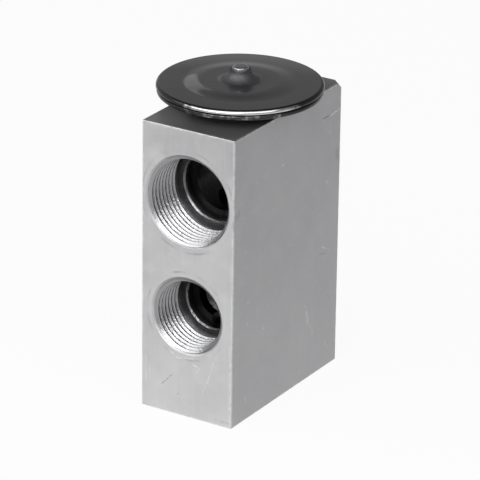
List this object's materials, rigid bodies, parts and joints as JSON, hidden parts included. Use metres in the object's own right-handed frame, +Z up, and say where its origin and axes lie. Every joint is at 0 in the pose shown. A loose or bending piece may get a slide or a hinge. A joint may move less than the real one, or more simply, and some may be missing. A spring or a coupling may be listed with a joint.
{
  "type": "expansion valve",
  "caption": "Block expansion valve for a refrigerant circuit: machined aluminium block with threaded ports on two faces and a round steel diaphragm head on top.",
  "frame": {"origin": "middle of the block's flat base, which is also the bottom centre of the whole part", "axes": "+Z up along the stem towards the power head, -Y out of the front face with the larger port above the smaller one, +X to the right seen from the front"},
  "size_m": [0.043, 0.052, 0.0888],
  "materials": {
    "machined_aluminium": "extruded and machined, dull silver with fine tool marks and scuffs",
    "head_steel": "pressed sheet steel, dark and fairly glossy",
    "plain_steel": "turned or ground steel",
    "spring_steel": "smooth spring steel",
    "rod_aluminium": "turned, satin",
    "seal_rubber": "matte moulded rubber",
    "white_plastic": "plain moulded",
    "brass_sheet": "stamped sheet",
    "brass_turned": "turned, slightly dulled"
  },
  "bodies": {
    "block": {"valve_block": "machined_aluminium", "head_cover": "head_steel", "head_base": "head_steel", "diaphragm": "spring_steel", "charge_plug": "head_steel", "head_seal": "seal_rubber", "rod_seal": "seal_rubber", "seal_washer": "white_plastic", "lock_ring": "brass_sheet", "main_spring": "spring_steel"},
    "stem": {"sensing_rod": "rod_aluminium", "diaphragm_plate": "plain_steel", "push_pin": "plain_steel", "valve_ball": "plain_steel", "ball_carrier": "brass_turned", "damping_spring": "spring_steel"},
    "seat": {"spring_seat": "brass_turned"},
    "screw": {"adjusting_screw": "brass_turned", "screw_seal": "seal_rubber"}
  },
  "joints": [
    {"name": "valve_lift", "type": "slide", "parent": "block", "child": "stem", "axis": [0, 0, -1], "range_m": [0, 0.0008], "stiffness_N_per_m": 200, "springref_m": -0.002, "deforming": ["main_spring"]},
    {"name": "screw_travel", "type": "slide", "parent": "block", "child": "seat", "axis": [0, 0, 1], "range_m": [-0.001, 0.001], "deforming": ["main_spring"]},
    {"name": "screw_turn", "type": "hinge", "parent": "seat", "child": "screw", "pos_m": [0, -0.00165, 0.007], "axis": [0, 0, 1], "range_deg": [-360, 360]}
  ],
  "couplings": [
    {"joint": "screw_travel", "follows": "screw_turn", "m_per_rad": 0.000159}
  ]
}
